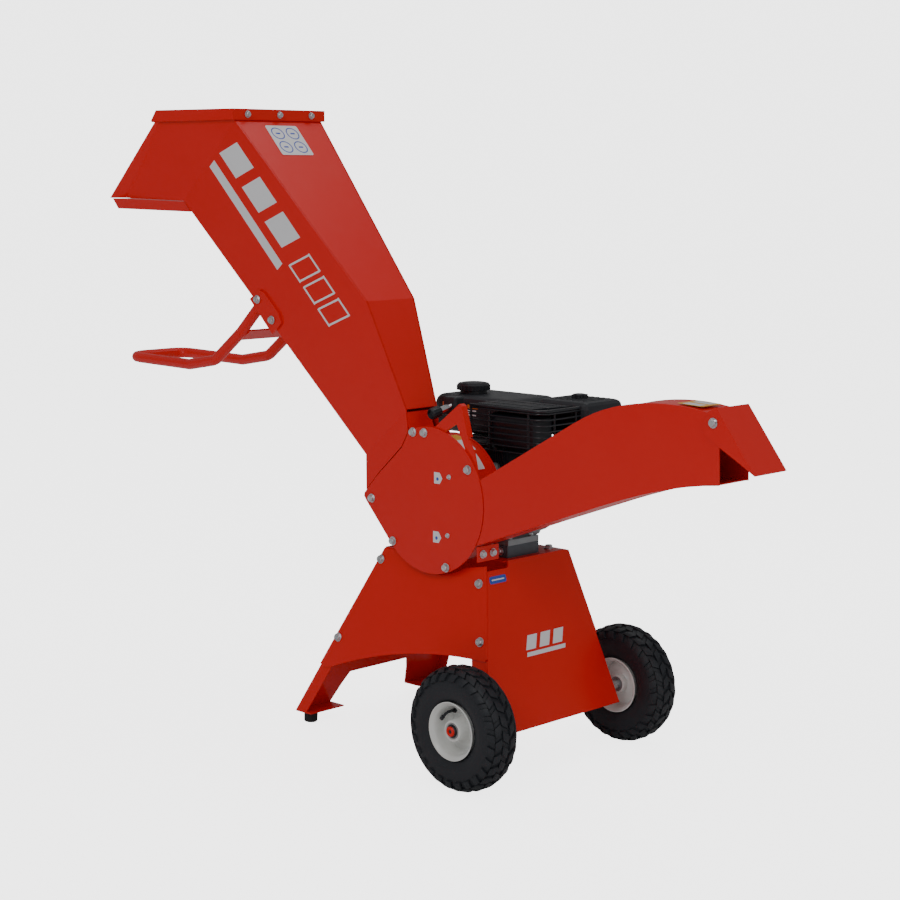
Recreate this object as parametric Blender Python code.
"""Wheeled petrol wood chipper: hopper, knife drum, discharge chute, small engine and stand.

Metres, +Z up. The machine is drawn level, with the wheels' lowest points at z = 0 and the
axle over x = 0. It then leans forward about the axle until its front feet reach the ground.
-X is the feeding side with the tow handle, +X is where the chips leave, -Y is the drum side.
"""

import math

import bmesh
import bpy
from mathutils import Matrix, Vector

# ---------------------------------------------------------------- driving dimensions
SHIFT_X = 0.3127            # moves the middle of the overall length to x = 0
LEAN = math.radians(3.2)    # forward lean of the whole machine on its front feet
GAP = 0.0003                # clearance between touching pieces
SHEET = 0.003               # sheet steel of stand and hopper
CHUTE_SHEET = 0.0025        # sheet steel of the chute

WHEEL_R = 0.130
WHEEL_W = 0.085
WHEEL_Y = 0.2567
RIM_R = 0.0608
RIM_HALF = 0.037
AXLE_R = 0.010
AXLE_END = 0.2920

DECK_Z = 0.4404
DECK_HALF = 0.1303
SIDE_SLOPE = 0.2426         # outward metres per metre going down
FRONT_X0 = -0.5805          # front plate: x at z = 0
FRONT_SLOPE = 0.5096        # and metres of x per metre of height
REAR_TOP_X = -0.0546
REAR_SLOPE = 0.2402
REAR_BOTTOM_Z = 0.099
LEG_BOTTOM_Z = 0.0546
ARCH_TOP_Z = 0.126
COVER_LOW_Z = 0.162

DRUM = Vector((-0.1953, 0.0, 0.5628))
DRUM_R = 0.156
COVER_Y = -0.1563
BACK_Y = -0.0820            # the drum is shallower than the neck and the chute
BACK_T = 0.006
BACK_R = 0.1375
SHELL_R = 0.1365
SHELL_T = 0.004
SHELL_Y0 = -0.1524          # the shell lies between the cover and the back plate
SHELL_Y1 = -0.0824
BAND_Y1 = -0.0655           # the back plate's closing bands reach the neck and chute sheets

HOPPER_MID = -0.1083        # the hopper is symmetric about this y
NECK_HALF = 0.0475
HOPPER_TAPER = 0.1058       # half width gained per metre along the hopper
INFEED_ANGLE = math.radians(49.7)
NECK_LOW = Vector((-0.3875, 0.0, 0.6420))
NECK_DEPTH = 0.1618
FOLD_ALONG, FOLD_OUT = 0.2355, 0.2375
TOP_ALONG, TOP_OUT = 0.7610, 0.2133
MOUTH_ALONG, MOUTH_OUT = 0.7444, -0.0437
LID_Z = 1.385
LID_LIP = 0.0245
FLARE = 0.0252              # how far the mouth's lower corners spread on each side
MOUTH_TOP_X = -0.9318
MOUTH_LOW = (-1.0840, 1.1870)
RIM_FLANGE = (-0.031, 0.024)   # outward reach of the rim's lower corners, x and y
FLANGE_TOP = 0.15           # share of that reach under the lid

CHUTE_Y0 = -0.1550
CHUTE_Y1 = -0.0623
CHUTE_END_X = 0.5525
DEFLECTOR_PIVOT = Vector((0.540, 0.0, 0.792))

ENGINE_BASE_Z = 0.4665
SHAFT_R = 0.0125
CLAMP = Vector((-0.2120, BACK_Y, 0.7533))
CLAMP_DROP = math.radians(13)   # the knob points slightly down


# ---------------------------------------------------------------- helpers
def clear_scene():
    for item in list(bpy.data.objects):
        bpy.data.objects.remove(item, do_unlink=True)


def paint(name, colour, roughness=0.45, metallic=0.0):
    mat = bpy.data.materials.get(name)
    if mat:
        return mat
    mat = bpy.data.materials.new(name)
    mat.use_nodes = True
    shader = mat.node_tree.nodes["Principled BSDF"]
    shader.inputs["Base Color"].default_value = (*colour, 1.0)
    shader.inputs["Roughness"].default_value = roughness
    shader.inputs["Metallic"].default_value = metallic
    mat.diffuse_color = (*colour, 1.0)
    return mat


def red():
    return paint("red_paint", (0.72, 0.03, 0.02), 0.35)


def black():
    return paint("black_plastic", (0.03, 0.03, 0.035), 0.45)


def steel():
    return paint("bright_steel", (0.55, 0.56, 0.58), 0.35, 1.0)


def alloy():
    return paint("cast_alloy", (0.32, 0.32, 0.33), 0.5, 0.8)


def rubber():
    return paint("rubber", (0.02, 0.02, 0.02), 0.8)


def put(name, mesh, material, location=(0, 0, 0), parent=None, smooth=None):
    """Links one sub-part; location is the object's origin and, for moving pieces, its axis."""
    item = bpy.data.objects.new(name, mesh)
    bpy.context.scene.collection.objects.link(item)
    mesh.materials.clear()
    mesh.materials.append(material)
    item.location = location
    item.parent = parent
    if smooth is not None:
        mesh.shade_smooth()
        mesh.set_sharp_from_angle(angle=math.radians(smooth))
    return item


def finish_mesh(bm, name, origin=(0, 0, 0)):
    bmesh.ops.translate(bm, verts=bm.verts, vec=-Vector(origin))
    bmesh.ops.recalc_face_normals(bm, faces=bm.faces)
    mesh = bpy.data.meshes.new(name)
    bm.to_mesh(mesh)
    bm.free()
    return mesh


def prism(points, push):
    """A closed solid: the planar polygon `points` pushed along the vector `push`."""
    bm = bmesh.new()
    face = bm.faces.new([bm.verts.new(p) for p in points])
    pushed = bmesh.ops.extrude_face_region(bm, geom=[face])
    moved = [v for v in pushed["geom"] if isinstance(v, bmesh.types.BMVert)]
    bmesh.ops.translate(bm, verts=moved, vec=Vector(push))
    return bm


def flat(outline, y0, y1):
    """A plate: an outline of (x, z) points between two y values."""
    return prism([(x, y0, z) for x, z in outline], (0, y1 - y0, 0))


def block(low, high, bevel=0.0, segments=2):
    bm = bmesh.new()
    size = Vector(high) - Vector(low)
    middle = (Vector(high) + Vector(low)) / 2
    place = Matrix.Translation(middle) @ Matrix.Diagonal((*size, 1.0))
    bmesh.ops.create_cube(bm, size=1.0, matrix=place)
    if bevel:
        bmesh.ops.bevel(bm, geom=bm.edges[:], offset=bevel, segments=segments, profile=0.5,
                        affect="EDGES", clamp_overlap=True)
    return bm


def turned(profile, steps, axis="Y", centre=(0, 0, 0)):
    """Turns a closed profile of (radius, along) points about an axis through `centre`.

    The first ring lies along -Z (or +X for a Z axis), so a wheel's lowest edge is a true point.
    """
    bm = bmesh.new()
    rings = []
    for radius, along in profile:
        if radius < 1e-6:
            rings.append([bm.verts.new(axis_point(0.0, along, 0.0, axis, centre))])
            continue
        ring = []
        for step in range(steps):
            ring.append(bm.verts.new(axis_point(radius, along, math.tau * step / steps, axis, centre)))
        rings.append(ring)
    for i, ring in enumerate(rings):
        other = rings[(i + 1) % len(rings)]
        if len(ring) == 1 and len(other) == 1:
            continue
        for step in range(steps):
            after = (step + 1) % steps
            corners = [ring[step % len(ring)], ring[after % len(ring)],
                       other[after % len(other)], other[step % len(other)]]
            unique = list(dict.fromkeys(corners))
            bm.faces.new(unique)
    return bm


def axis_point(radius, along, angle, axis, centre):
    c = Vector(centre)
    if axis == "Y":
        return c + Vector((radius * math.sin(angle), along, -radius * math.cos(angle)))
    if axis == "X":
        return c + Vector((along, radius * math.sin(angle), -radius * math.cos(angle)))
    return c + Vector((radius * math.cos(angle), radius * math.sin(angle), along))


def bent_strip(path, thickness, y0, y1):
    """A sheet bent along an (x, z) path, with its thickness on the path's left side."""
    outer = [Vector(p) for p in path]
    inner = []
    for i, point in enumerate(outer):
        before = outer[max(i - 1, 0)]
        after = outer[min(i + 1, len(outer) - 1)]
        first = (point - before).normalized() if i else (after - point).normalized()
        second = (after - point).normalized() if i < len(outer) - 1 else first
        n1 = Vector((-first.y, first.x))
        n2 = Vector((-second.y, second.x))
        mitre = (n1 + n2).normalized()
        inner.append(point + mitre * thickness / max(mitre.dot(n1), 0.3))
    bm = bmesh.new()
    rows = []
    for a, b in zip(outer, inner):
        rows.append([bm.verts.new((a.x, y0, a.y)), bm.verts.new((a.x, y1, a.y)),
                     bm.verts.new((b.x, y1, b.y)), bm.verts.new((b.x, y0, b.y))])
    for row, following in zip(rows, rows[1:]):
        for k in range(4):
            m = (k + 1) % 4
            bm.faces.new([row[k], row[m], following[m], following[k]])
    bm.faces.new(rows[0])
    bm.faces.new(rows[-1])
    return bm


def folded(name, panels, corners, thickness, material, parent):
    """A folded sheet: flat panels that share corners, thickened to one side by Solidify."""
    bm = bmesh.new()
    verts = {key: bm.verts.new(value) for key, value in corners.items()}
    for panel in panels:
        bm.faces.new([verts[key] for key in panel])
    mesh = bpy.data.meshes.new(name)
    bm.to_mesh(mesh)
    bm.free()
    item = put(name, mesh, material, parent=parent)
    solid = item.modifiers.new("thickness", "SOLIDIFY")
    solid.thickness = thickness
    solid.offset = -1.0
    solid.use_even_offset = True
    solid.use_quality_normals = True
    return item


def boolean(item, bm, operation, name, parent):
    """Adds or cuts a shape; the tool object stays hidden."""
    tool = put(name, finish_mesh(bm, name), red(), parent=parent)
    tool.hide_render = True
    tool.display_type = "WIRE"
    change = item.modifiers.new(name, "BOOLEAN")
    change.operation = operation
    change.solver = "EXACT"
    change.object = tool


def arc(centre, radius, start, end, steps):
    """Points on a circle in the x-z plane, from one angle in degrees to another."""
    points = []
    for step in range(steps + 1):
        angle = math.radians(start + (end - start) * step / steps)
        points.append((centre[0] + radius * math.cos(angle), centre[1] + radius * math.sin(angle)))
    return points


def rounded(points, radius, steps=8):
    """Rounds every corner of a polyline in 3-D, for bent tubes."""
    out = [points[0]]
    for before, corner, after in zip(points, points[1:], points[2:]):
        to_before = (before - corner).normalized()
        to_after = (after - corner).normalized()
        half = to_before.angle(to_after) / 2
        reach = min(radius / math.tan(half), (before - corner).length * 0.48,
                    (after - corner).length * 0.48)
        a = corner + to_before * reach
        b = corner + to_after * reach
        for step in range(steps + 1):
            t = step / steps
            out.append(a.lerp(corner, t).lerp(corner.lerp(b, t), t))
    out.append(points[-1])
    return out


def tube(name, points, radius, material, parent, resolution=4):
    curve = bpy.data.curves.new(name, "CURVE")
    curve.dimensions = "3D"
    curve.bevel_depth = radius
    curve.bevel_resolution = resolution
    curve.use_fill_caps = True
    spline = curve.splines.new("POLY")
    spline.points.add(len(points) - 1)
    for place, point in zip(spline.points, points):
        place.co = (*point, 1.0)
    item = bpy.data.objects.new(name, curve)
    bpy.context.scene.collection.objects.link(item)
    curve.materials.append(material)
    item.parent = parent
    return item


# ---------------------------------------------------------------- the leaning machine frame
def machine_frame():
    """An empty whose children are drawn level and lean together about the axle."""
    frame = bpy.data.objects.new("machine", None)
    bpy.context.scene.collection.objects.link(frame)
    turn = Matrix.Rotation(-LEAN, 4, "Y")
    axle = Vector((0, 0, WHEEL_R))
    frame.matrix_world = (Matrix.Translation(Vector((SHIFT_X, 0, 0)) + axle) @ turn
                          @ Matrix.Translation(-axle))
    return frame


# ---------------------------------------------------------------- stand
def side_y(z, inset=0.0):
    """Half width of the stand at a height, `inset` metres inside the side covers."""
    return DECK_HALF + SIDE_SLOPE * (DECK_Z - z) - inset * math.hypot(1, SIDE_SLOPE)


def front_x(z, inset=0.0):
    return FRONT_X0 + FRONT_SLOPE * z + inset * math.hypot(1, FRONT_SLOPE)


def rear_x(z, inset=0.0):
    return REAR_TOP_X + REAR_SLOPE * (DECK_Z - z) - inset * math.hypot(1, REAR_SLOPE)


def leaning_plate(outline, plane, depth):
    """A plate whose outline of (y, z) points lies on a leaning plane x = plane(z)."""
    near = [(plane(z), y, z) for y, z in outline]
    push = Vector((plane(0.0, depth) - plane(0.0), 0, 0))
    return prism(near, push)


def side_flange(points, sign, outer, inner):
    """A plate that follows a side of the stand; `points` are (x, z)."""
    bm = bmesh.new()
    rings = []
    for inset in (outer, inner):
        rings.append([bm.verts.new((x, sign * side_y(z, inset), z)) for x, z in points])
    bm.faces.new(rings[0])
    bm.faces.new(rings[1])
    count = len(points)
    for i in range(count):
        j = (i + 1) % count
        bm.faces.new([rings[0][i], rings[0][j], rings[1][j], rings[1][i]])
    return bm


def build_front_panel(frame):
    under = SHEET + GAP
    top = DECK_Z - 0.0005
    leg_in = 0.120

    def edge(z):
        return side_y(z, under)

    outline = [(edge(top), top), (edge(LEG_BOTTOM_Z), LEG_BOTTOM_Z), (leg_in, LEG_BOTTOM_Z),
               (0.103, 0.100), (0.090, ARCH_TOP_Z)]
    outline += [(-y, z) for y, z in reversed(outline)]
    panel = put("front_panel", finish_mesh(leaning_plate(outline, front_x, SHEET), "front_panel"),
                red(), parent=frame)
    for sign, side in ((-1, "left"), (1, "right")):
        width = 0.034
        flange = [(front_x(top) + 0.0005, top), (front_x(LEG_BOTTOM_Z) + 0.0005, LEG_BOTTOM_Z),
                  (front_x(LEG_BOTTOM_Z) + width, LEG_BOTTOM_Z), (front_x(top) + width, top)]
        boolean(panel, side_flange(flange, sign, under, under + SHEET), "UNION",
                f"front_flange_{side}", frame)
        x0 = front_x(LEG_BOTTOM_Z)
        y0, y1 = sorted((sign * leg_in, sign * (edge(LEG_BOTTOM_Z) - 0.0004)))
        foot = block((x0 + 0.001, y0, LEG_BOTTOM_Z - 0.0015), (x0 + 0.050, y1, LEG_BOTTOM_Z + 0.0015))
        boolean(panel, foot, "UNION", f"foot_plate_{side}", frame)


def build_rear_panel(frame):
    under = SHEET + GAP
    top = DECK_Z

    def edge(z):
        return side_y(z, under)

    notch_z = 0.427
    outline = [(-edge(REAR_BOTTOM_Z), REAR_BOTTOM_Z), (edge(REAR_BOTTOM_Z), REAR_BOTTOM_Z),
               (edge(top - 0.010), top - 0.010), (edge(top) - 0.006, top), (-0.0650, top),
               (-0.0650, notch_z + 0.006), (-0.0668, notch_z + 0.0018), (-0.0710, notch_z),
               (-edge(notch_z), notch_z)]
    panel = put("rear_panel", finish_mesh(leaning_plate(outline, rear_x, SHEET), "rear_panel"),
                red(), parent=frame)
    for sign, side in ((-1, "left"), (1, "right")):
        width = 0.046
        high = 0.42
        low = REAR_BOTTOM_Z
        flange = [(rear_x(high) - 0.0005, high), (rear_x(low) - 0.0005, low),
                  (rear_x(low) - width, low), (rear_x(high) - width, high)]
        boolean(panel, side_flange(flange, sign, under, under + SHEET), "UNION",
                f"rear_flange_{side}", frame)
    hole = turned([(0.0, -0.26), (AXLE_R + GAP, -0.26), (AXLE_R + GAP, 0.26), (0.0, 0.26)], 24,
                  centre=(0, 0, WHEEL_R))
    boolean(panel, hole, "DIFFERENCE", "axle_hole", frame)


def build_side_covers(frame):
    """Bolted side sheets: cut round the drum on top on the drum side, arched at the bottom."""
    bottom = []
    for step in range(13):
        t = step / 12
        bottom.append((-0.4650 + 0.4500 * t, 0.1640 + 0.0860 * (1 - (1 - t) ** 2.1)))
    left_low = [(-0.4960, COVER_LOW_Z + 0.006), (-0.4880, COVER_LOW_Z)]
    top = DECK_Z - 0.0030
    for sign, side in ((-1, "left"), (1, "right")):
        outline = [(front_x(top) + 0.0010, top)]
        outline += left_low
        outline += bottom
        outline += [(rear_x(0.252) - 0.001, 0.256), (rear_x(top) - 0.001, top)]
        if sign < 0:
            outline += arc((DRUM.x, DRUM.z), DRUM_R + 0.004, -58, -128, 14)
        mesh = finish_mesh(side_flange(outline, sign, 0.0, SHEET), f"side_cover_{side}")
        put(f"side_cover_{side}", mesh, red(), parent=frame)


def build_deck(frame):
    x0 = front_x(DECK_Z) + SHEET + 0.004
    x1 = rear_x(DECK_Z) - SHEET - 0.002
    y0, y1 = BACK_Y + BACK_T + 0.004, DECK_HALF - 2 * SHEET - 0.004
    deck = block((x0, y0, DECK_Z - SHEET - 0.0002), (x1, y1, DECK_Z - 0.0002))
    put("deck", finish_mesh(deck, "deck"), red(), parent=frame)


def build_feet(frame):
    """Rubber pads under the leg plates; their soles lie flat on the ground."""
    level = Vector((front_x(LEG_BOTTOM_Z) + 0.024, 0, LEG_BOTTOM_Z - 0.0015))
    for sign, side in ((-1, "left"), (1, "right")):
        place = frame.matrix_world @ (level + Vector((0, sign * 0.196, 0)))
        top = place.z - 0.0015
        profile = [(0.0, 0.0), (0.0135, 0.0), (0.0150, 0.0020), (0.0155, top - 0.001),
                   (0.0150, top), (0.0, top)]
        put(f"foot_{side}", finish_mesh(turned(profile, 24, "Z"), f"foot_{side}"), rubber(),
            location=(place.x, place.y, 0), smooth=40)


# ---------------------------------------------------------------- wheels
def build_wheels():
    half = WHEEL_W / 2
    tyre = [(RIM_R + 0.0005, -0.030), (0.066, -0.0335), (0.080, -0.0395), (0.098, -half),
            (0.114, -0.0410), (0.124, -0.0350), (0.1290, -0.0250), (WHEEL_R, -0.0110),
            (WHEEL_R, 0.0110), (0.1290, 0.0250), (0.124, 0.0350), (0.114, 0.0410), (0.098, half),
            (0.080, 0.0395), (0.066, 0.0335), (RIM_R + 0.0005, 0.030), (RIM_R + 0.0005, 0.0)]
    rim = [(0.0200, -0.004), (0.030, -0.004), (0.040, -0.010), (0.050, -0.014), (0.0535, -0.020),
           (0.0535, -0.0290), (0.0585, -RIM_HALF), (RIM_R, -RIM_HALF), (RIM_R, -0.031),
           (0.0575, -0.029), (0.0560, -0.020), (0.0560, 0.020), (0.0575, 0.029), (RIM_R, 0.031),
           (RIM_R, RIM_HALF), (0.0585, RIM_HALF), (0.0535, 0.0290), (0.0535, -0.0110),
           (0.045, -0.007), (0.030, -0.001), (0.0200, -0.001), (0.0200, 0.034),
           (AXLE_R + GAP, 0.034), (AXLE_R + GAP, -0.034), (0.0165, -0.034), (0.0200, -0.031)]
    for sign, side in ((-1, "left"), (1, "right")):
        origin = (SHIFT_X, sign * WHEEL_Y, WHEEL_R)
        turn = [(r, y * -sign) for r, y in rim]
        put(f"tyre_{side}", finish_mesh(turned(tyre, 48), f"tyre_{side}"), rubber(),
            location=origin, smooth=35)
        put(f"rim_{side}", finish_mesh(turned(turn, 40), f"rim_{side}"),
            paint("rim_white", (0.80, 0.80, 0.78), 0.35), location=origin, smooth=35)
    axle = [(0.0, -AXLE_END), (AXLE_R, -AXLE_END), (AXLE_R, AXLE_END), (0.0, AXLE_END)]
    put("axle", finish_mesh(turned(axle, 24), "axle"), steel(), location=(SHIFT_X, 0, WHEEL_R),
        smooth=35)


# ---------------------------------------------------------------- knife drum
def drum_outline(radius, corner_in=0.0):
    """The drum's D shape: a circle drawn out to a corner below the feed opening."""
    corner = (-0.3940 + corner_in, 0.5520)
    points = arc((DRUM.x, DRUM.z), radius, 112, -141, 40)
    points += [(corner[0] + 0.0070, corner[1] - 0.0105), (corner[0], corner[1] - 0.0010),
               (corner[0] + 0.0015, corner[1] + 0.0060)]
    points += [(-0.3497, 0.6027), (-0.2760, 0.6680)]
    return points


def build_drum(frame):
    cover = flat(drum_outline(DRUM_R), COVER_Y, COVER_Y + SHEET)
    put("drum_cover", finish_mesh(cover, "drum_cover"), red(), parent=frame, smooth=25)

    tab = [(-0.2455, 0.7085), (-0.1900, 0.7520), (-0.1850, 0.7370), (-0.2130, 0.7120)]
    back_outline = arc((DRUM.x, DRUM.z), BACK_R, 97, -141, 36)
    back_outline += [(-0.3870, 0.5500), (-0.3840, 0.6380), (-0.2640, 0.7070)] + tab
    back = flat(back_outline, BACK_Y, BACK_Y + BACK_T)
    plate = put("drum_back_plate", finish_mesh(back, "drum_back_plate"), red(), parent=frame)
    neck_band = bent_strip([(-0.3835, 0.5560), (-0.3490, 0.5985), (-0.2750, 0.6640), (-0.2560, 0.6990)],
                           SHEET, BACK_Y + 0.002, BAND_Y1)
    boolean(plate, neck_band, "UNION", "neck_band", frame)
    chute_band = bent_strip(arc((DRUM.x, DRUM.z), BACK_R - 0.0002, -38, 19, 12), SHEET,
                            BACK_Y + 0.002, BAND_Y1)
    boolean(plate, chute_band, "UNION", "chute_band", frame)
    bore = turned([(0.0, BACK_Y - 0.01), (0.0165, BACK_Y - 0.01), (0.0165, BACK_Y + 0.02),
                   (0.0, BACK_Y + 0.02)], 24, centre=DRUM)
    boolean(plate, bore, "DIFFERENCE", "shaft_bore", frame)

    centre = (DRUM.x, DRUM.z)
    lower = arc(centre, SHELL_R, -42, -141, 20)
    lower += [(-0.3900, 0.5515), (-0.3845, 0.6375)]
    shell = bent_strip(list(reversed(lower)), SHELL_T, SHELL_Y0, SHELL_Y1)
    put("drum_shell_lower", finish_mesh(shell, "drum_shell_lower"), red(), parent=frame, smooth=25)
    upper = arc(centre, SHELL_R, 22, 112, 18) + [(-0.2665, 0.7435)]
    shell = bent_strip(upper, SHELL_T, SHELL_Y0, SHELL_Y1)
    shell = put("drum_shell_upper", finish_mesh(shell, "drum_shell_upper"), red(), parent=frame,
                smooth=25)
    build_ear(shell, frame)

    knife = block((-0.3780, SHELL_Y0 + 0.001, 0.5600), (-0.3180, SHELL_Y1 - 0.001, 0.5680))
    put("counter_knife", finish_mesh(knife, "counter_knife"), steel(), parent=frame)

    bracket = flat([(-0.0610, 0.4485), (-0.0570, 0.4485), (-0.0570, 0.4805), (-0.0610, 0.4805)],
                   -0.1520, -0.0896)
    put("drum_bracket", finish_mesh(bracket, "drum_bracket"), red(), parent=frame)


def build_ear(shell, frame):
    """An A-shaped plate on the shell's near edge, folded back along its right leg and its top."""
    y0 = SHELL_Y0 + 0.0002
    legs = [(-0.1812, 0.6966), (-0.1544, 0.7115), (-0.1187, 0.7312), (-0.0943, 0.6807)]
    legs += arc((DRUM.x, DRUM.z), SHELL_R - SHELL_T / 2, 45, 24.5, 4)
    legs += [(-0.0620, 0.6240), (-0.0598, 0.6401), (-0.0682, 0.6759), (-0.0850, 0.7012),
             (-0.1042, 0.7689), (-0.1119, 0.7732), (-0.1785, 0.7222), (-0.2115, 0.6963)]
    boolean(shell, flat(legs, y0, y0 + 0.0040), "UNION", "ear", frame)
    fold = bent_strip([(-0.0862, 0.7060), (-0.1038, 0.7692), (-0.1116, 0.7736)], SHEET, y0 + 0.001,
                      y0 + 0.0150)
    boolean(shell, fold, "UNION", "ear_fold", frame)


def build_rotor(frame):
    """The knife rotor sits straight on the engine's shaft."""
    y0, y1 = SHELL_Y0 + 0.004, SHELL_Y1 - 0.004
    body = [(SHAFT_R + GAP, y0 + 0.006), (0.045, y0 + 0.006), (0.082, y0), (0.082, y1),
            (SHAFT_R + GAP, y1)]
    rotor = put("rotor", finish_mesh(turned(body, 36), "rotor"), steel(),
                location=(DRUM.x, 0, DRUM.z), parent=frame, smooth=35)
    for number, sign in ((1, 1), (2, -1)):
        low = (min(sign * 0.058, sign * 0.118), y0 - 0.001, min(0, sign * 0.034))
        high = (max(sign * 0.058, sign * 0.118), y1 + 0.001, max(0, sign * 0.034))
        seat_shape = block((low[0], low[1], low[2]), (high[0], high[1], high[2]))
        tool = finish_mesh(seat_shape, f"seat_{number}")
        seat = put(f"seat_{number}", tool, red(), location=(DRUM.x, 0, DRUM.z), parent=frame)
        seat.hide_render = True
        seat.display_type = "WIRE"
        cut = rotor.modifiers.new(f"seat_{number}", "BOOLEAN")
        cut.operation = "DIFFERENCE"
        cut.solver = "EXACT"
        cut.object = seat
        points = [(0.0585, 0.0003), (0.1180, 0.0003), (0.1080, 0.0100), (0.0585, 0.0100)]
        blade = prism([(sign * x, y0 + 0.001, sign * z) for x, z in points], (0, y1 - y0 - 0.002, 0))
        put(f"knife_{number}", finish_mesh(blade, f"knife_{number}"), steel(),
            location=(DRUM.x, 0, DRUM.z), parent=frame)
    shaft = [(0.0, -0.1400), (SHAFT_R, -0.1400), (SHAFT_R, 0.1500), (0.0, 0.1500)]
    put("crankshaft", finish_mesh(turned(shaft, 24), "crankshaft"), steel(),
        location=(DRUM.x, 0, DRUM.z), parent=frame, smooth=35)


# ---------------------------------------------------------------- hopper
def hopper_point(along, out, side=None, inset=0.0):
    """A point of the hopper: `along` the feed axis from the neck, `out` from its lower wall.

    `side` -1 or 1 puts it on the left or right wall, `inset` metres inside the outer skin.
    """
    forward = Vector((-math.cos(INFEED_ANGLE), 0, math.sin(INFEED_ANGLE)))
    across = Vector((math.sin(INFEED_ANGLE), 0, math.cos(INFEED_ANGLE)))
    point = NECK_LOW + forward * along + across * out
    if side is None:
        return point
    half = NECK_HALF + HOPPER_TAPER * max(along, 0.0) - inset
    point.y = HOPPER_MID + side * half
    return point


def mouth_corners(side):
    """Corners of the spread mouth on one side, on the outer skin, all in one plane."""
    high = hopper_point(TOP_ALONG, TOP_OUT, side)
    low = hopper_point(MOUTH_ALONG, MOUTH_OUT, side)
    low_rim = Vector((MOUTH_LOW[0], low.y + side * FLARE, MOUTH_LOW[1]))
    normal = (high - low).cross(low_rim - low)

    def on_wall(x, z):
        y = low.y - (normal.x * (x - low.x) + normal.z * (z - low.z)) / normal.y
        return Vector((x, y, z))

    top = LID_Z - SHEET - 0.0038
    return high, low, on_wall(MOUTH_TOP_X, top), low_rim, on_wall(high.x, top)


def build_hopper(frame):
    """Each side is one folded sheet: neck, main wall, spread mouth and its outward rim flange."""
    for side, name in ((-1, "left"), (1, "right")):
        high, low, high_rim, low_rim, top_back = mouth_corners(side)
        neck_y = HOPPER_MID + side * NECK_HALF
        out = Vector((RIM_FLANGE[0], side * RIM_FLANGE[1], 0))
        corners = {
            "drum_low": Vector((-0.3870, neck_y, 0.5655)),
            "drum_mid": Vector((-0.3500, neck_y, 0.6048)),
            "drum_side": Vector((-0.2778, neck_y, 0.6698)),
            "drum_high": Vector((-0.2585, neck_y, 0.7030)),
            "neck_low": hopper_point(0, 0, side), "neck_high": hopper_point(0, NECK_DEPTH, side),
            "fold": hopper_point(FOLD_ALONG, FOLD_OUT, side), "high": high, "low": low,
            "top_back": top_back, "high_rim": high_rim, "low_rim": low_rim,
            "high_flange": high_rim + FLANGE_TOP * out, "low_flange": low_rim + out,
        }
        panels = [["drum_low", "drum_mid", "drum_side", "drum_high", "neck_high", "neck_low"],
                  ["neck_low", "neck_high", "fold", "high", "low"],
                  ["high", "top_back", "high_rim", "low_rim", "low"],
                  ["high_rim", "high_flange", "low_flange", "low_rim"]]
        if side > 0:
            panels = [list(reversed(panel)) for panel in panels]
        folded(f"hopper_side_{name}", panels, corners, SHEET, red(), frame)


def hopper_side_y(x, z, side, outset):
    """The y of a hopper side wall's outer skin at (x, z), moved out by `outset`."""
    along = (-(x - NECK_LOW.x) * math.cos(INFEED_ANGLE) + (z - NECK_LOW.z) * math.sin(INFEED_ANGLE))
    return HOPPER_MID + side * (NECK_HALF + HOPPER_TAPER * max(along, 0.0) + outset)


def sheet_between_sides(name, stations, frame):
    """A folded sheet that spans the hopper between its side walls; stations are (along, out)."""
    corners = {}
    panels = []
    for i, (along, out) in enumerate(stations):
        for side in (-1, 1):
            corners[(i, side)] = hopper_point(along, out, side, SHEET + 0.0012)
    for i in range(len(stations) - 1):
        panels.append([(i, -1), (i, 1), (i + 1, 1), (i + 1, -1)])
    folded(name, panels, corners, SHEET, red(), frame)


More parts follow.
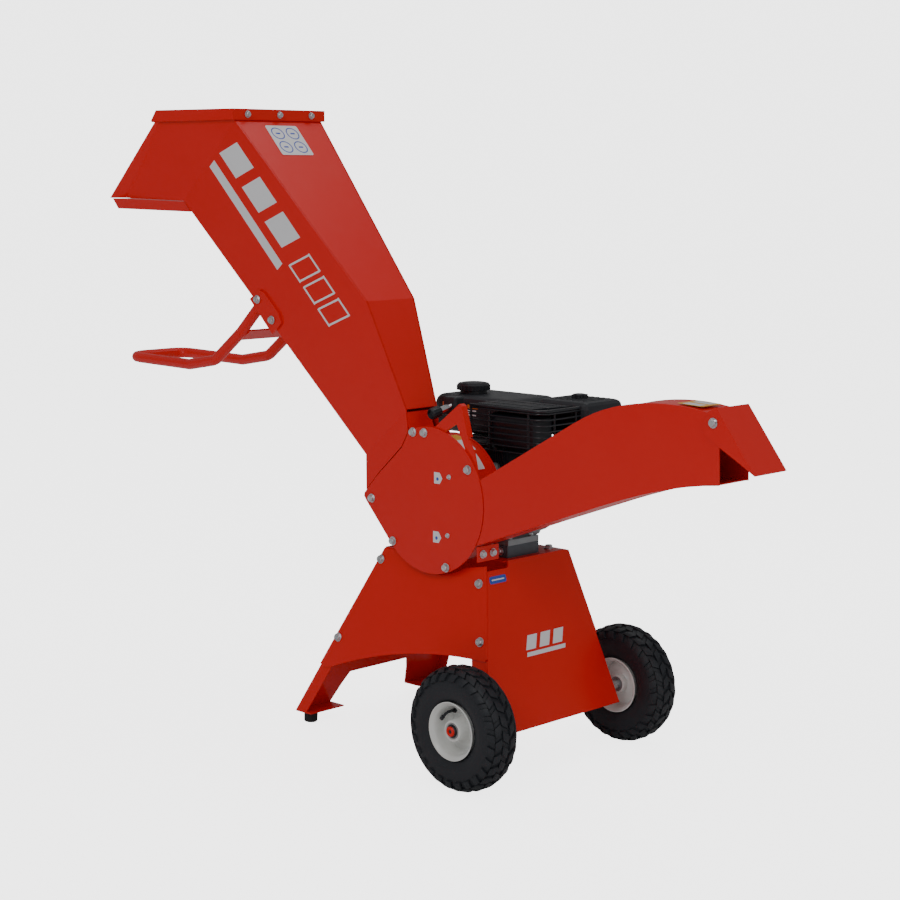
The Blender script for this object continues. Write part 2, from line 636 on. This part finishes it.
def build_hopper_sheets(frame):
    low_line = MOUTH_OUT / MOUTH_ALONG
    sheet_between_sides("hopper_under_face",
                        [(MOUTH_ALONG - 0.004, low_line * (MOUTH_ALONG - 0.004)), (0.002, 0.0)], frame)
    up = hopper_point(TOP_ALONG, TOP_OUT)
    lid_edge = (LID_Z - SHEET - 0.0040 - up.z)
    top = (TOP_ALONG + lid_edge * math.sin(INFEED_ANGLE), TOP_OUT + lid_edge * math.cos(INFEED_ANGLE))
    sheet_between_sides("hopper_outer_face", [(0.003, NECK_DEPTH + 0.001), (FOLD_ALONG, FOLD_OUT),
                                              (TOP_ALONG, TOP_OUT), top], frame)

    high, low, high_rim, low_rim, top_back = mouth_corners(1)
    lean = (low_rim.x - high_rim.x) / (high_rim.z - low_rim.z)
    back_half = top_back.y - HOPPER_MID + 0.0050
    rim_half = high_rim.y - HOPPER_MID + FLANGE_TOP * RIM_FLANGE[1] + 0.0062
    back_x = high.x + 0.0042
    rim_x = high_rim.x + FLANGE_TOP * RIM_FLANGE[0] - 0.0075
    corners = {}
    for side in (-1, 1):
        for name, x, half in (("back", back_x, back_half), ("rim", rim_x, rim_half)):
            drop = Vector((lean * LID_LIP if name == "rim" else 0.0, 0, -LID_LIP))
            corners[(name, side)] = Vector((x, HOPPER_MID + side * half, LID_Z))
            corners[(name, side, "lip")] = corners[(name, side)] + drop
    ring = [("back", -1), ("back", 1), ("rim", 1), ("rim", -1)]
    panels = [ring]
    for a, b in zip(ring, ring[1:] + ring[:1]):
        panels.append([b, a, (*a, "lip"), (*b, "lip")])
    folded("hopper_lid", panels, corners, SHEET, red(), frame)

    corners = {}
    lip = Vector((0, 0, -0.0235))
    for side in (-1, 1):
        back_half = low.y - HOPPER_MID
        rim_half = low_rim.y - HOPPER_MID + 0.018
        back = Vector((low.x, HOPPER_MID + side * back_half, low.z - 0.0012))
        rim = Vector((low_rim.x - 0.0290, HOPPER_MID + side * rim_half, low_rim.z - 0.0012))
        corners[("back", side)] = back
        corners[("rim", side)] = rim
        corners[("back", side, "lip")] = back + lip + Vector((0.010, -side * 0.012, 0))
        corners[("rim", side, "lip")] = rim + lip + Vector((0.004, -side * 0.012, 0))
    panels = [ring]
    for a, b in zip(ring[1:], ring[2:] + ring[:1]):
        panels.append([b, a, (*a, "lip"), (*b, "lip")])
    folded("hood_floor", panels, corners, SHEET, red(), frame)


def build_handle(frame):
    half = 0.080
    tube_r = 0.0125
    arm = [(-0.6945, 0.9505), (-0.7620, 0.8870), (-0.8550, 0.8180), (-0.9500, 0.8020),
           (-1.1780, 0.8065)]
    near = [Vector((x, HOPPER_MID - half, z)) for x, z in arm]
    far = [Vector((x, HOPPER_MID + half, z)) for x, z in reversed(arm)]
    tube("tow_handle", rounded(near + far, 0.045), tube_r, red(), frame)
    outline = [(-0.7069, 0.9659), (-0.6751, 0.9875), (-0.6604, 0.9819), (-0.6198, 0.9390),
               (-0.6126, 0.9158), (-0.6433, 0.8897)]
    for side, name in ((-1, "left"), (1, "right")):
        skin = [(x, hopper_side_y(x, z, side, 0.0006), z) for x, z in outline]
        plate = prism(skin, (0, side * 0.004, 0))
        put(f"handle_bracket_{name}", finish_mesh(plate, f"handle_bracket_{name}"), red(),
            parent=frame)


# ---------------------------------------------------------------- discharge chute
def hermite(x, start, end, slope0, slope1):
    (x0, z0), (x1, z1) = start, end
    t = (x - x0) / (x1 - x0)
    run = x1 - x0
    return ((1 - 3 * t ** 2 + 2 * t ** 3) * z0 + (t - 2 * t ** 2 + t ** 3) * run * slope0
            + (3 * t ** 2 - 2 * t ** 3) * z1 + (t ** 3 - t ** 2) * run * slope1)


def chute_top(x):
    if x < 0.20:
        return 0.622 + 0.559 * (x + 0.048)
    if x < 0.43:
        return hermite(x, (0.20, 0.7606), (0.43, 0.8175), 0.559, 0.0)
    return hermite(x, (0.43, 0.8175), (0.5505, 0.8050), 0.0, -0.18)


def chute_bottom(x):
    if x < 0.25:
        return 0.4834 + 0.369 * (x + 0.060)
    return hermite(x, (0.25, 0.5978), (0.5525, 0.6765), 0.369, 0.09)


def build_chute(frame):
    steps = 14
    top_x = [0.20 + (0.5505 - 0.20) * i / steps for i in range(steps + 1)]
    low_x = [0.25 + (CHUTE_END_X - 0.25) * i / 8 for i in range(9)]
    centre = (DRUM.x, DRUM.z)
    cover_edge = arc(centre, DRUM_R + 0.0010, -30.2, 22.0, 12)
    plate_edge = arc(centre, BACK_R + 0.0006, -39.0, 19.5, 12)
    for name, y0, y1, edge in (("left", CHUTE_Y0, CHUTE_Y0 + CHUTE_SHEET, cover_edge),
                               ("right", CHUTE_Y1 - CHUTE_SHEET, CHUTE_Y1, plate_edge)):
        outline = edge + [(x, chute_top(x)) for x in top_x]
        outline += [(x, chute_bottom(x)) for x in reversed(low_x)]
        side = put(f"chute_side_{name}", finish_mesh(flat(outline, y0, y1), f"chute_side_{name}"),
                   red(), parent=frame)
        pin_hole(side, f"chute_hole_{name}", y0, y1, frame)
    y0 = CHUTE_Y0 + CHUTE_SHEET + GAP
    y1 = CHUTE_Y1 - CHUTE_SHEET - GAP
    path = [(x, chute_top(x) - 0.0008) for x in [-0.0650, 0.08] + top_x]
    strip = bent_strip([(x, z) for x, z in reversed(path)], CHUTE_SHEET, y0, y1)
    put("chute_top_sheet", finish_mesh(strip, "chute_top_sheet"), red(), parent=frame, smooth=25)
    path = [(x, chute_bottom(x) + 0.0008) for x in [-0.0860, 0.10] + low_x]
    strip = bent_strip(path, CHUTE_SHEET, y0, y1)
    put("chute_bottom_sheet", finish_mesh(strip, "chute_bottom_sheet"), red(), parent=frame,
        smooth=25)


def pin_hole(item, name, y0, y1, parent, origin=(0, 0, 0)):
    bm = turned([(0.0, y0 - 0.01), (0.0044, y0 - 0.01), (0.0044, y1 + 0.01), (0.0, y1 + 0.01)], 16,
                centre=DEFLECTOR_PIVOT - Vector(origin))
    boolean(item, bm, "DIFFERENCE", name, parent)
    if origin != (0, 0, 0):
        bpy.data.objects[name].location = origin


def build_deflector(frame):
    outer = {-1: CHUTE_Y0 - 0.0035, 1: CHUTE_Y1 + 0.0035}
    profile = {"top": (0.5460, 0.8200), "tip": (0.6340, 0.7035), "under": (0.5550, 0.7470),
               "heel": (0.5185, 0.7690), "ear": (0.5165, 0.7890), "brow": (0.5260, 0.8110)}
    corners = {}
    for side, y in outer.items():
        for key, (x, z) in profile.items():
            corners[(key, side)] = Vector((x, y, z)) - DEFLECTOR_PIVOT
    flange = ["tip", "top", "brow", "ear", "heel", "under"]
    panels = [[("top", -1), ("tip", -1), ("tip", 1), ("top", 1)],
              [(key, -1) for key in flange], [(key, 1) for key in reversed(flange)]]
    item = folded("deflector", panels, corners, CHUTE_SHEET, red(), frame)
    item.location = DEFLECTOR_PIVOT
    pin_hole(item, "deflector_hole", CHUTE_Y0 - 0.02, CHUTE_Y1 + 0.02, frame, DEFLECTOR_PIVOT)
    for side, name in ((-1, "left"), (1, "right")):
        skin = outer[side]
        inside = (CHUTE_Y0 + CHUTE_SHEET) if side < 0 else (CHUTE_Y1 - CHUTE_SHEET)
        bolt = [(0.0, skin + side * 0.0075), (0.0065, skin + side * 0.0075),
                (0.0072, skin + side * 0.0060), (0.0072, skin + side * 0.0020),
                (0.0100, skin + side * 0.0020), (0.0100, skin + side * 0.0004),
                (0.0040, skin + side * 0.0004), (0.0040, inside - side * 0.0004),
                (0.0072, inside - side * 0.0004), (0.0072, inside - side * 0.0060),
                (0.0, inside - side * 0.0060)]
        put(f"pivot_bolt_{name}", finish_mesh(turned(bolt, 12), f"pivot_bolt_{name}"), steel(),
            location=DEFLECTOR_PIVOT, parent=frame)


# ---------------------------------------------------------------- clamp screw and switch
def dropped(bm):
    """Tips a shape drawn about CLAMP's Y axis so that its knob end points down."""
    turn = Matrix.Rotation(CLAMP_DROP, 4, "X")
    place = Matrix.Translation(CLAMP) @ turn @ Matrix.Translation(-CLAMP)
    bmesh.ops.transform(bm, matrix=place, verts=bm.verts)
    return bm


def build_clamp(frame):
    """The knob, its sleeve and its thin screw pass above the ear's leg into the switch."""
    screw = [(0.0, -0.0530), (0.0105, -0.0530), (0.0125, -0.0510), (0.0125, -0.0290),
             (0.0105, -0.0270), (0.0072, -0.0265), (0.0072, -0.0010), (0.0048, -0.0005),
             (0.0048, 0.0160), (0.0, 0.0160)]
    mesh = finish_mesh(dropped(turned(screw, 20, centre=CLAMP)), "clamp_screw", CLAMP)
    put("clamp_screw", mesh, black(), location=CLAMP, parent=frame, smooth=35)
    y0 = BACK_Y + BACK_T + 0.0004
    switch = block((-0.2330, y0, 0.7350), (-0.1960, y0 + 0.0280, 0.7740), 0.004)
    item = put("safety_switch", finish_mesh(switch, "safety_switch"), black(), parent=frame)
    pocket = turned([(0.0, -0.02), (0.0062, -0.02), (0.0062, 0.0190), (0.0, 0.0190)], 16,
                    centre=CLAMP)
    boolean(item, dropped(pocket), "DIFFERENCE", "switch_pocket", frame)


# ---------------------------------------------------------------- engine
def build_engine_block(frame):
    for name, x0 in (("front", -0.2990), ("rear", -0.1120)):
        riser = block((x0, -0.0460, DECK_Z + 0.0002), (x0 + 0.040, 0.0520, ENGINE_BASE_Z - 0.0003))
        put(f"engine_riser_{name}", finish_mesh(riser, f"engine_riser_{name}"),
            paint("grey_channel", (0.10, 0.11, 0.12), 0.5, 0.3), parent=frame)
    case = block((-0.2850, -0.0440, ENGINE_BASE_Z), (-0.1100, 0.1080, 0.6380), 0.010)
    crankcase = put("crankcase", finish_mesh(case, "crankcase"), alloy(), parent=frame)
    base = block((-0.3040, -0.0450, ENGINE_BASE_Z - 0.0001), (-0.0710, 0.0510, ENGINE_BASE_Z + 0.012))
    boolean(crankcase, base, "UNION", "crankcase_feet", frame)
    boss_y = BACK_Y + BACK_T + GAP
    boss = [(0.0, boss_y), (0.0600, boss_y), (0.0600, -0.0400), (0.0, -0.0400)]
    boolean(crankcase, turned(boss, 32, centre=DRUM), "UNION", "drum_boss", frame)
    bore = turned([(0.0, -0.09), (SHAFT_R + 0.0005, -0.09), (SHAFT_R + 0.0005, 0.12), (0.0, 0.12)],
                  24, centre=DRUM)
    boolean(crankcase, bore, "DIFFERENCE", "crank_bore", frame)
    dipstick = [(0.0, -0.0230), (0.0130, -0.0230), (0.0150, -0.0200), (0.0150, -0.0060),
                (0.0115, -0.0003), (0.0, -0.0003)]
    put("oil_cap", finish_mesh(turned(dipstick, 20, "X"), "oil_cap"), black(),
        location=(-0.2850, 0.070, 0.5050), parent=frame, smooth=35)


def build_cylinder(frame):
    """Finned cylinder and head, drawn along +X and tipped up from the crank."""
    tilt = Matrix.Rotation(-math.radians(25), 4, "Y")
    start = Vector((-0.1065, 0.032, 0.5720))

    def placed(bm):
        bmesh.ops.transform(bm, matrix=Matrix.Translation(start) @ tilt, verts=bm.verts)
        return bm

    outline = []
    fins = 5
    pitch = 0.0105
    for side in (1, -1):
        edge = []
        for i in range(fins):
            x = 0.020 + i * pitch
            edge += [(x, 0.034), (x, 0.048), (x + 0.0035, 0.048), (x + 0.0035, 0.034)]
        if side > 0:
            outline += [(x, z) for x, z in edge]
        else:
            outline += [(x, -z) for x, z in reversed(edge)]
    cylinder = placed(flat(outline, -0.048, 0.048))
    put("cylinder", finish_mesh(cylinder, "cylinder"), alloy(), parent=frame)
    head = placed(block((0.0665, -0.050, -0.048), (0.0960, 0.050, 0.050), 0.004))
    item = put("cylinder_head", finish_mesh(head, "cylinder_head"), alloy(), parent=frame)
    cover = placed(block((0.0900, -0.036, -0.036), (0.1220, 0.036, 0.036), 0.006))
    boolean(item, cover, "UNION", "valve_cover", frame)


def build_engine_covers(frame):
    muffler = block((-0.1560, -0.0240, 0.6660), (-0.0260, 0.0500, 0.7420), 0.014, 3)
    put("muffler", finish_mesh(muffler, "muffler"), paint("exhaust", (0.06, 0.06, 0.06), 0.6, 0.6),
        parent=frame)
    low, high = (-0.2000, -0.0340, 0.6600), (0.0120, 0.0880, 0.7620)
    corners = {}
    for i, (x, y) in enumerate(((low[0], low[1]), (high[0], low[1]), (high[0], high[1]),
                                (low[0], high[1]))):
        corners[(i, "low")] = Vector((x, y, low[2]))
        corners[(i, "high")] = Vector((x, y, high[2]))
    panels = [[(0, "high"), (1, "high"), (2, "high"), (3, "high")],
              [(0, "low"), (1, "low"), (1, "high"), (0, "high")],
              [(1, "low"), (2, "low"), (2, "high"), (1, "high")]]
    folded("muffler_guard", panels, corners, 0.002, black(), frame)

    shroud = [(0.1030, 0.1120), (0.1060, 0.1120), (0.1060, 0.1600), (0.0980, 0.1660),
              (0.0850, 0.1660), (0.0850, 0.1640), (0.0970, 0.1640), (0.1030, 0.1590)]
    put("fan_shroud", finish_mesh(turned(shroud, 40, centre=DRUM), "fan_shroud"), black(),
        parent=frame, smooth=35)
    recoil = [(0.0, 0.2020), (0.0550, 0.2020), (0.0720, 0.1950), (0.0820, 0.1800), (0.0840, 0.1664),
              (0.0815, 0.1664), (0.0795, 0.1790), (0.0700, 0.1930), (0.0540, 0.2000), (0.0, 0.2000)]
    put("recoil_cover", finish_mesh(turned(recoil, 36, centre=DRUM), "recoil_cover"), black(),
        parent=frame, smooth=35)
    flywheel = [(SHAFT_R + GAP, 0.1200), (0.0860, 0.1200), (0.0880, 0.1240), (0.0880, 0.1480),
                (0.0600, 0.1480), (SHAFT_R + GAP, 0.1440)]
    put("flywheel", finish_mesh(turned(flywheel, 36), "flywheel"), alloy(),
        location=(DRUM.x, 0, DRUM.z), parent=frame, smooth=35)
    grip = block((-0.0450, -0.0090, -0.0120), (0.0450, 0.0090, 0.0120), 0.006, 3)
    put("starter_grip", finish_mesh(grip, "starter_grip"), black(),
        location=(-0.1500, 0.2125, 0.6250), parent=frame, smooth=40)

    tank = block((-0.4000, 0.0600, 0.6740), (-0.1600, 0.2200, 0.7580), 0.022, 4)
    put("fuel_tank", finish_mesh(tank, "fuel_tank"), black(), parent=frame, smooth=40)
    cap = [(0.0, 0.0), (0.0300, 0.0), (0.0300, 0.0060), (0.0360, 0.0070), (0.0370, 0.0180),
           (0.0340, 0.0220), (0.0, 0.0220)]
    put("fuel_cap", finish_mesh(turned(cap, 32, "Z"), "fuel_cap"), black(),
        location=(-0.3337, 0.1250, 0.7583), parent=frame, smooth=35)
    cleaner = block((-0.1180, 0.0900, 0.6960), (0.0280, 0.2150, 0.7660), 0.016, 3)
    put("air_filter_cover", finish_mesh(cleaner, "air_filter_cover"), black(), parent=frame,
        smooth=40)
    carb = block((-0.0780, 0.1100, 0.6250), (-0.0300, 0.1560, 0.6955), 0.004)
    put("carburettor", finish_mesh(carb, "carburettor"), alloy(), parent=frame)


def lever(name, origin, length, lift, y0, y1, material, frame):
    """A flat lever with round ends that swings about a Y axis at `origin`."""
    tip = (length * math.cos(lift), length * math.sin(lift))
    turn = math.degrees(lift)
    outline = arc((0, 0), 0.0080, turn + 90, turn + 270, 8) + arc(tip, 0.0055, turn - 90, turn + 90, 8)
    put(name, finish_mesh(flat(outline, y0, y1), name), material, location=origin, parent=frame)


def build_controls(frame):
    lever("throttle_lever", (-0.0870, 0.1690, 0.6420), 0.040, math.radians(35), 0.0, 0.003,
          black(), frame)
    lever("choke_lever", (-0.0440, 0.1565, 0.6630), 0.028, math.radians(-15), 0.0003, 0.0030,
          black(), frame)
    lever("fuel_tap", (-0.0660, 0.1565, 0.6370), 0.024, math.radians(-90), 0.0003, 0.0030,
          paint("tap_red", (0.5, 0.03, 0.02), 0.4), frame)
    knob = [(0.0, 0.0), (0.0120, 0.0), (0.0120, 0.0050), (0.0095, 0.0140), (0.0, 0.0140)]
    put("engine_switch", finish_mesh(turned(knob, 16), "engine_switch"),
        paint("tap_red", (0.5, 0.03, 0.02), 0.4), location=(-0.2760, 0.1663, 0.6150), parent=frame)


def main():
    clear_scene()
    frame = machine_frame()
    bpy.context.view_layer.update()
    build_front_panel(frame)
    build_rear_panel(frame)
    build_side_covers(frame)
    build_deck(frame)
    build_feet(frame)
    build_wheels()
    build_drum(frame)
    build_rotor(frame)
    build_hopper(frame)
    build_hopper_sheets(frame)
    build_handle(frame)
    build_chute(frame)
    build_deflector(frame)
    build_clamp(frame)
    build_engine_block(frame)
    build_cylinder(frame)
    build_engine_covers(frame)
    build_controls(frame)


main()
